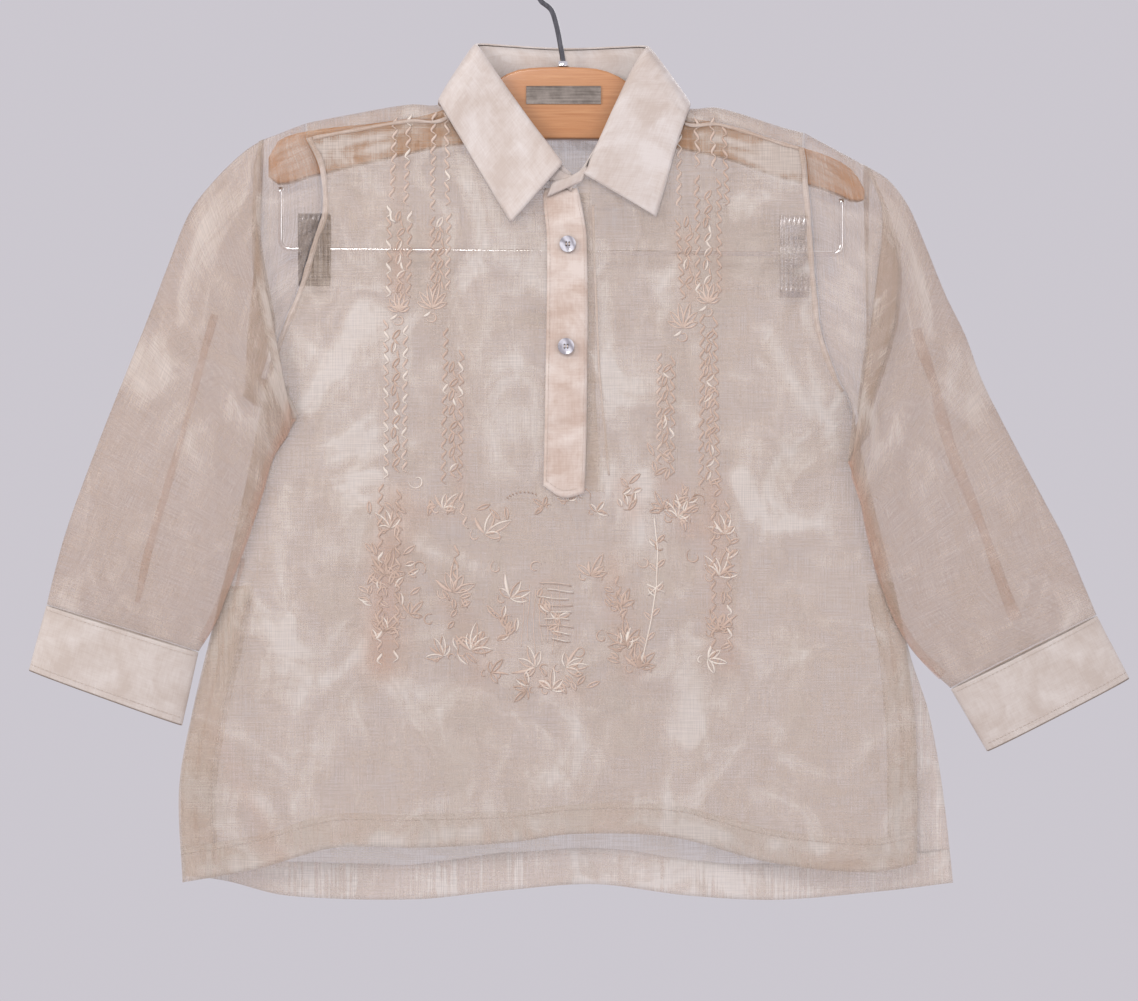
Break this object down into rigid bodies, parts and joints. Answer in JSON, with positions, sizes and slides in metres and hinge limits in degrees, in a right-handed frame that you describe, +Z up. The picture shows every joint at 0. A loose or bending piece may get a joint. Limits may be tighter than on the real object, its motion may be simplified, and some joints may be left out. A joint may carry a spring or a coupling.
{
  "type": "barong tagalog shirt on a wooden clip hanger",
  "caption": "Sheer long-sleeved popover shirt with a pointed collar, opaque cuffs, half-length placket and side slits, hanging flat on a wooden clip hanger.",
  "frame": {"origin": "the hook's seat, the highest point inside its arc, where a rail carries it", "axes": "+X across the shirt towards the viewer's right, +Z up, the shirt's front faces -Y"},
  "size_m": [0.7963, 0.042, 0.6859],
  "materials": {
    "sheer_cloth": "sheer ecru plain-weave organza with a satin sheen, embroidered in cream on the front",
    "stiff_cloth": "opaque off-white interfaced cloth",
    "pearl": "grey pearl",
    "varnished_wood": "varnished orange-tan wood",
    "plate": "blank grey-brown plate",
    "chrome": "polished chrome",
    "clip_steel": "dull nickel"
  },
  "bodies": {
    "root": {"back": "sheer_cloth", "front": "sheer_cloth", "hem_back": "sheer_cloth", "hem_front": "sheer_cloth", "slit_back_left": "sheer_cloth", "slit_back_right": "sheer_cloth", "slit_front_left": "sheer_cloth", "slit_front_right": "sheer_cloth", "sleeve_left": "sheer_cloth", "sleeve_right": "sheer_cloth", "cuff_left": "stiff_cloth", "cuff_right": "stiff_cloth", "collar_stand": "stiff_cloth", "collar_leaf": "stiff_cloth", "placket": "stiff_cloth", "placket_under": "stiff_cloth", "button_1": "pearl", "button_2": "pearl", "hanger_wood": "varnished_wood", "hanger_plate": "plate", "hook": "chrome", "hook_collar": "chrome", "trouser_bar": "chrome", "clip_left_slide": "chrome", "clip_right_slide": "chrome", "clip_left_front": "clip_steel", "clip_left_back": "clip_steel", "clip_right_front": "clip_steel", "clip_right_back": "clip_steel"}
  },
  "joints": []
}
